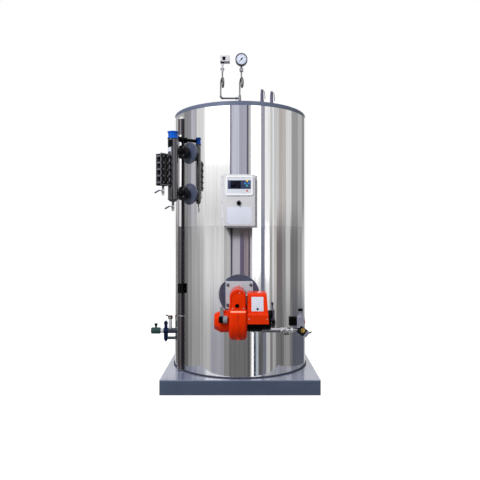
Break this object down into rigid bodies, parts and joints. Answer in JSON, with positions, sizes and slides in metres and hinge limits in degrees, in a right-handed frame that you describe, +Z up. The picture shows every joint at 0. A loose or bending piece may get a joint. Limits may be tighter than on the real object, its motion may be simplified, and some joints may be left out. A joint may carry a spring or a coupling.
{
  "type": "vertical gas-fired steam boiler",
  "caption": "Vertical steam boiler with a polished round casing on a square channel base, a gas burner, a control box, a level gauge, feed valves, safety valves and a pressure gauge.",
  "frame": {"origin": "centre of the base frame's underside, on the floor", "axes": "+Z up along the casing's axis, front with the burner facing -Y, +X to the right seen from the front"},
  "size_m": [1.342, 1.46, 2.654],
  "materials": {
    "base_paint": "satin slate-blue paint",
    "deck_paint": "gloss grey-blue paint",
    "insulation": "mineral wool jacket, closed in by the casing",
    "stainless": "polished stainless sheet",
    "slate_paint": "semi-gloss slate paint",
    "flue_steel": "semi-gloss slate paint",
    "black_plastic": "black plastic",
    "column_paint": "gloss dark violet-grey paint",
    "blue_plastic": "blue plastic",
    "black_iron": "black painted iron",
    "gauge_iron": "dark grey cast iron",
    "gauge_glass": "dark reflex glass",
    "nickel": "nickel-plated brass",
    "grip_blue": "blue dipped grips",
    "box_paint": "light grey powder coat",
    "display_plastic": "white plastic",
    "plate_alloy": "bare cast aluminium",
    "burner_red": "orange-red gloss paint",
    "motor_black": "black paint",
    "switch_grey": "grey plastic",
    "valve_alloy": "grey die-cast alloy",
    "filter_black": "black coated alloy",
    "check_blue": "dark blue paint",
    "stop_green": "dark green paint",
    "instrument_steel": "stainless tube",
    "gauge_case": "dark grey case",
    "safety_metal": "grey-violet paint",
    "lever_steel": "steel sheet"
  },
  "bodies": {
    "boiler": {"base_channels": "base_paint", "base_beams": "base_paint", "base_deck": "deck_paint", "foot_ring": "deck_paint", "insulated_drum": "insulation", "lower_casing": "stainless", "upper_casing": "stainless", "cable_duct": "stainless", "top_cover": "slate_paint", "wall_discs": "slate_paint", "steam_outlet": "slate_paint", "feed_pipes": "slate_paint", "flue_collar": "flue_steel", "duct_glands": "black_plastic", "gas_valve_coil": "black_plastic", "level_column": "column_paint", "column_cap": "blue_plastic", "level_branches": "black_iron", "level_gauge_body": "gauge_iron", "level_gauge_clamps": "gauge_iron", "gauge_glass": "gauge_glass", "drain_valves": "nickel", "gas_pipe": "nickel", "feed_fittings": "nickel", "control_box": "box_paint", "pressure_switch": "box_paint", "display_unit": "display_plastic", "burner_plate": "plate_alloy", "burner_housing": "burner_red", "burner_air_intake": "burner_red", "burner_control_cover": "burner_red", "burner_motor": "motor_black", "air_pressure_switch": "switch_grey", "gas_valve": "valve_alloy", "gas_inlet_flange": "valve_alloy", "gas_filter": "filter_black", "feed_check_valve": "check_blue", "feed_stop_valve": "stop_green", "instrument_manifold": "instrument_steel", "siphons": "instrument_steel", "pressure_gauge": "gauge_case", "safety_valves": "safety_metal"},
    "gauge_drain_lever": {"gauge_drain_lever": "grip_blue"},
    "column_drain_lever": {"column_drain_lever": "grip_blue"},
    "vent_lever": {"vent_lever": "black_plastic"},
    "gas_cock_handle": {"gas_cock_handle": "black_plastic"},
    "selector_knob": {"selector_knob": "black_plastic"},
    "safety_lever_left": {"safety_lever_left": "lever_steel"},
    "safety_lever_right": {"safety_lever_right": "lever_steel"}
  },
  "joints": [
    {"name": "gauge_drain", "type": "hinge", "parent": "boiler", "child": "gauge_drain_lever", "pos_m": [-0.56604, -0.56604, 1.487], "axis": [0, -1, 0], "range_deg": [0, 90]},
    {"name": "column_drain", "type": "hinge", "parent": "boiler", "child": "column_drain_lever", "pos_m": [-0.50134, -0.50134, 1.375], "axis": [0, -1, 0], "range_deg": [0, 90]},
    {"name": "vent", "type": "hinge", "parent": "boiler", "child": "vent_lever", "pos_m": [-0.59, 0, 0.484], "axis": [0, 1, 0], "range_deg": [0, 90]},
    {"name": "gas_cock", "type": "hinge", "parent": "boiler", "child": "gas_cock_handle", "pos_m": [0.337, -0.623, 0.454], "axis": [0, 0, -1], "range_deg": [0, 90]},
    {"name": "selector", "type": "hinge", "parent": "boiler", "child": "selector_knob", "pos_m": [-0.008, -0.669, 1.399], "axis": [0, 1, 0], "range_deg": [0, 90]},
    {"name": "safety_test_left", "type": "hinge", "parent": "boiler", "child": "safety_lever_left", "pos_m": [0.18, -0.15, 2.349], "axis": [0, -1, 0], "range_deg": [0, 30]},
    {"name": "safety_test_right", "type": "hinge", "parent": "boiler", "child": "safety_lever_right", "pos_m": [0.262, -0.095, 2.349], "axis": [0, -1, 0], "range_deg": [0, 30]}
  ]
}
